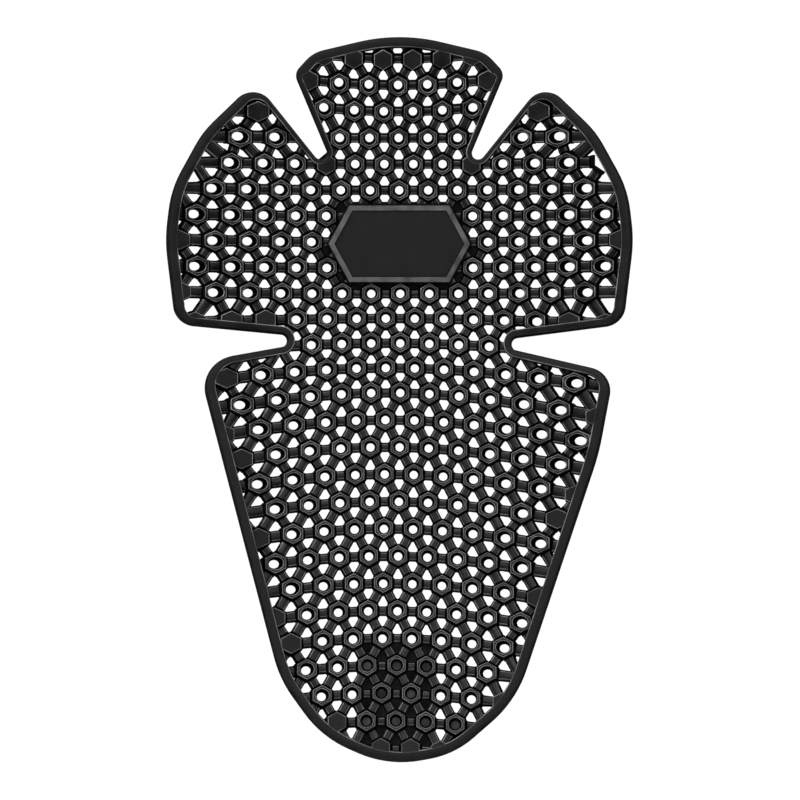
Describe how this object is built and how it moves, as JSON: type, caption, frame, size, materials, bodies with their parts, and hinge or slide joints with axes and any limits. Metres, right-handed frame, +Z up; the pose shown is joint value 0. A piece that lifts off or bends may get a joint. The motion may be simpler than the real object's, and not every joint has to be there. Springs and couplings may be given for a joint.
{
  "type": "knee and shin pad insert",
  "caption": "Knee and shin pad moulded in one piece: a curved net of bored hexagonal columns joined by ribs, in a rim band, with lobes and a bare badge plate.",
  "frame": {"origin": "middle of the pad's box, on the surface that it lies on", "axes": "+X across the leg, +Y towards the thigh end, +Z up out of the hollow side; the convex outer side lies on the surface"},
  "size_m": [0.1828, 0.2843, 0.0236],
  "materials": {
    "black_rubber": "satin"
  },
  "bodies": {
    "root": {"pad_moulding": "black_rubber"}
  },
  "joints": []
}
